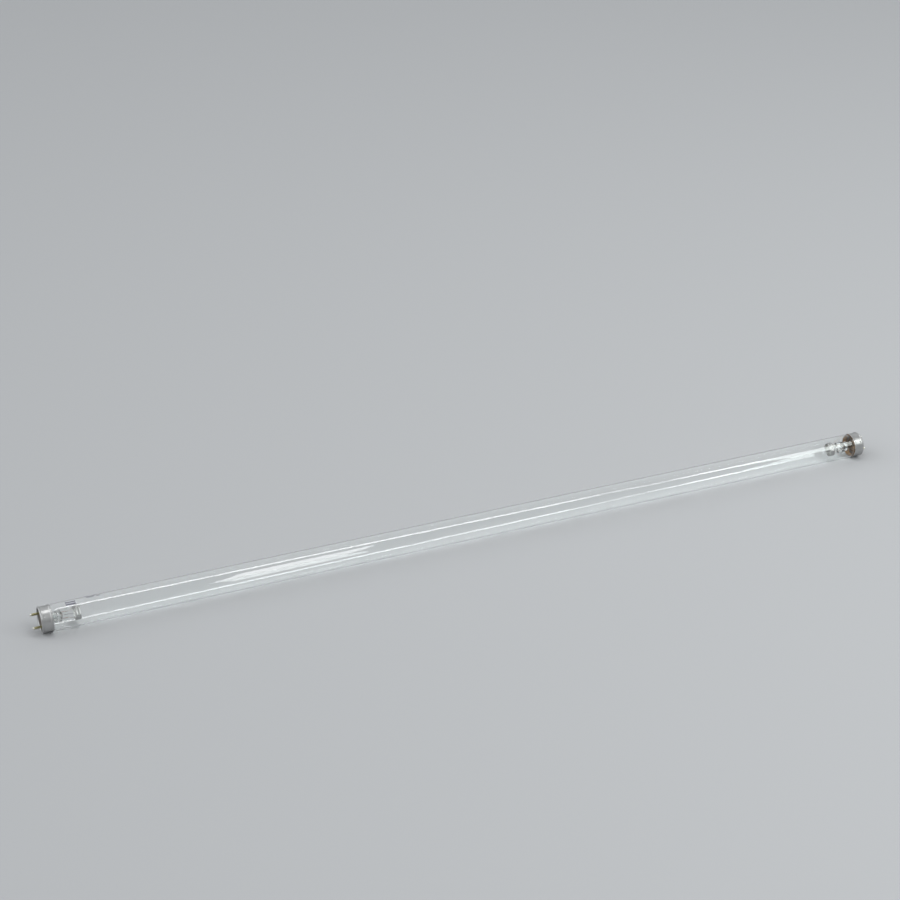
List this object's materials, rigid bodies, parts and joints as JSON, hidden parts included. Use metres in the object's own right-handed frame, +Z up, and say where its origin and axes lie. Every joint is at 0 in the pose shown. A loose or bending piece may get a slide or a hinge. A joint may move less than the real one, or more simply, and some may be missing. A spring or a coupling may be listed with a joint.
{
  "type": "germicidal lamp tube",
  "caption": "Straight clear-glass UVC discharge lamp with a two-pin aluminium cap on each end and coil electrodes inside oval guards",
  "frame": {"origin": "middle of the lamp's length, on the tube's axis", "axes": "+X along the lamp from the left end to the right end, +Z up as the lamp lies on a level surface, +Y to its rear; the pins' plane leans 40 degrees from upright towards +Y"},
  "size_m": [0.9088, 0.0258, 0.0258],
  "materials": {
    "tube_glass": "clear polished",
    "stem_glass": "clear, fire polished",
    "cap_aluminium": "satin rolled sheet",
    "disc_phenolic": "matt pressed board",
    "pin_brass": "dull drawn",
    "cap_cement": "baked resin cement",
    "lead_wire": "drawn wire",
    "electrode_coil": "oxide coated",
    "guard_steel": "bright nickel plated"
  },
  "bodies": {
    "root": {"glass_tube": "tube_glass", "left_cap_shell": "cap_aluminium", "left_insulator_disc": "disc_phenolic", "left_pin_upper": "pin_brass", "left_pin_lower": "pin_brass", "left_cement": "cap_cement", "left_stem": "stem_glass", "left_lead_upper": "lead_wire", "left_lead_lower": "lead_wire", "left_coil": "electrode_coil", "left_guard": "guard_steel", "left_guard_support": "guard_steel", "right_cap_shell": "cap_aluminium", "right_insulator_disc": "disc_phenolic", "right_pin_upper": "pin_brass", "right_pin_lower": "pin_brass", "right_cement": "cap_cement", "right_stem": "stem_glass", "right_lead_upper": "lead_wire", "right_lead_lower": "lead_wire", "right_coil": "electrode_coil", "right_guard": "guard_steel", "right_guard_support": "guard_steel"}
  },
  "joints": []
}
